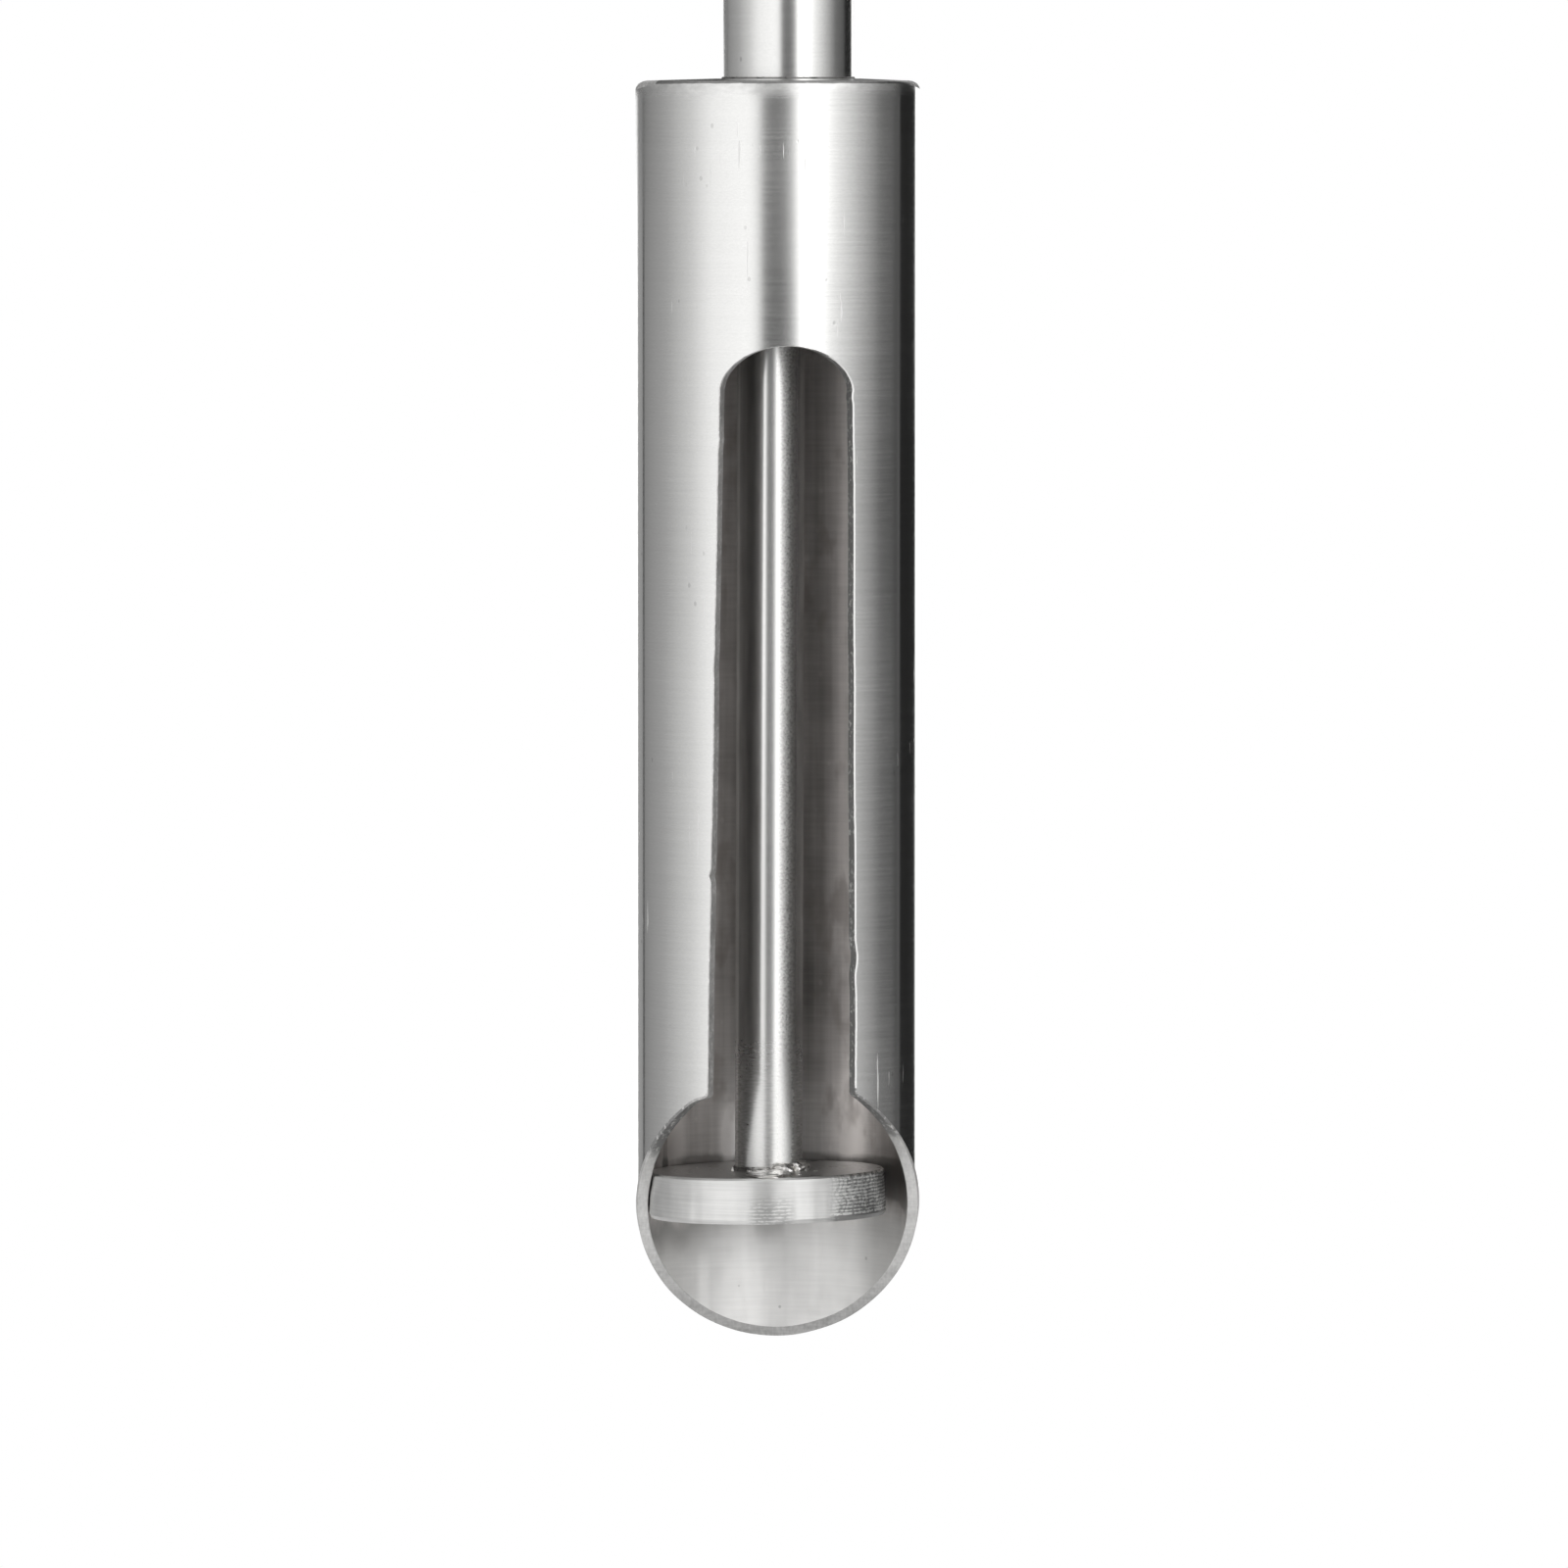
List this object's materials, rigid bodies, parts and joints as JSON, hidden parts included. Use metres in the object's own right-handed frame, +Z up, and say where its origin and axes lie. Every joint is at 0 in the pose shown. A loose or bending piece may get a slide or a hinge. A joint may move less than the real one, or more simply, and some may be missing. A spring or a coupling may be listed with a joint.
{
  "type": "soil sampling probe",
  "caption": "T-handled stainless soil sampling probe: a windowed sample barrel with a slanted cutting mouth, and a sliding push rod whose piston ejects the soil core.",
  "frame": {"origin": "on the axis of the shaft, level with the lowest point of the slanted mouth", "axes": "+Z up along the shaft towards the T-handle, -Y towards the side window, X along the handle with +X to the right when facing the window"},
  "size_m": [0.2622, 0.042, 0.5161],
  "materials": {
    "brushed_stainless": "stainless tube with a dull polish, fine scratches and rub marks",
    "turned_stainless": "turned stainless with fine tool marks",
    "ground_weld": "weld ground round with an abrasive, with heat tint",
    "weld_bead": "rippled weld bead with heat tint",
    "polished_tube": "bright drawn stainless tube",
    "rod_steel": "bright drawn bar, rubbed along its length",
    "grip_rubber": "ribbed matt black rubber",
    "bumper_rubber": "matt black rubber",
    "black_plastic": "black moulded plastic with a light texture",
    "nylon": "natural nylon, turned",
    "zinc_hardware": "plain bright hardware",
    "brass": "machined brass"
  },
  "bodies": {
    "frame": {"sample_barrel": "brushed_stainless", "shoulder_cap": "turned_stainless", "shoulder_weld": "ground_weld", "shaft_tube": "polished_tube", "shaft_weld": "weld_bead", "crossbar": "polished_tube", "upper_saddle_weld": "weld_bead", "lower_saddle_weld": "weld_bead", "guide_bush": "nylon", "left_grip": "grip_rubber", "right_grip": "grip_rubber", "left_end_cap": "black_plastic", "right_end_cap": "black_plastic"},
    "slider": {"bumper": "bumper_rubber"},
    "ejector": {"ejector_rod": "rod_steel", "piston": "turned_stainless", "piston_weld": "weld_bead", "washer": "zinc_hardware", "lock_nut": "zinc_hardware", "knob_insert": "brass", "palm_knob": "black_plastic"}
  },
  "joints": [
    {"name": "ejector_slide", "type": "slide", "parent": "frame", "child": "slider", "axis": [0.0031, 0, 1], "range_m": [0, 0.148]},
    {"name": "ejector_turn", "type": "hinge", "parent": "slider", "child": "ejector", "pos_m": [-0.0016, 0, 0.4585], "axis": [0.0031, 0, 1], "continuous": true}
  ]
}
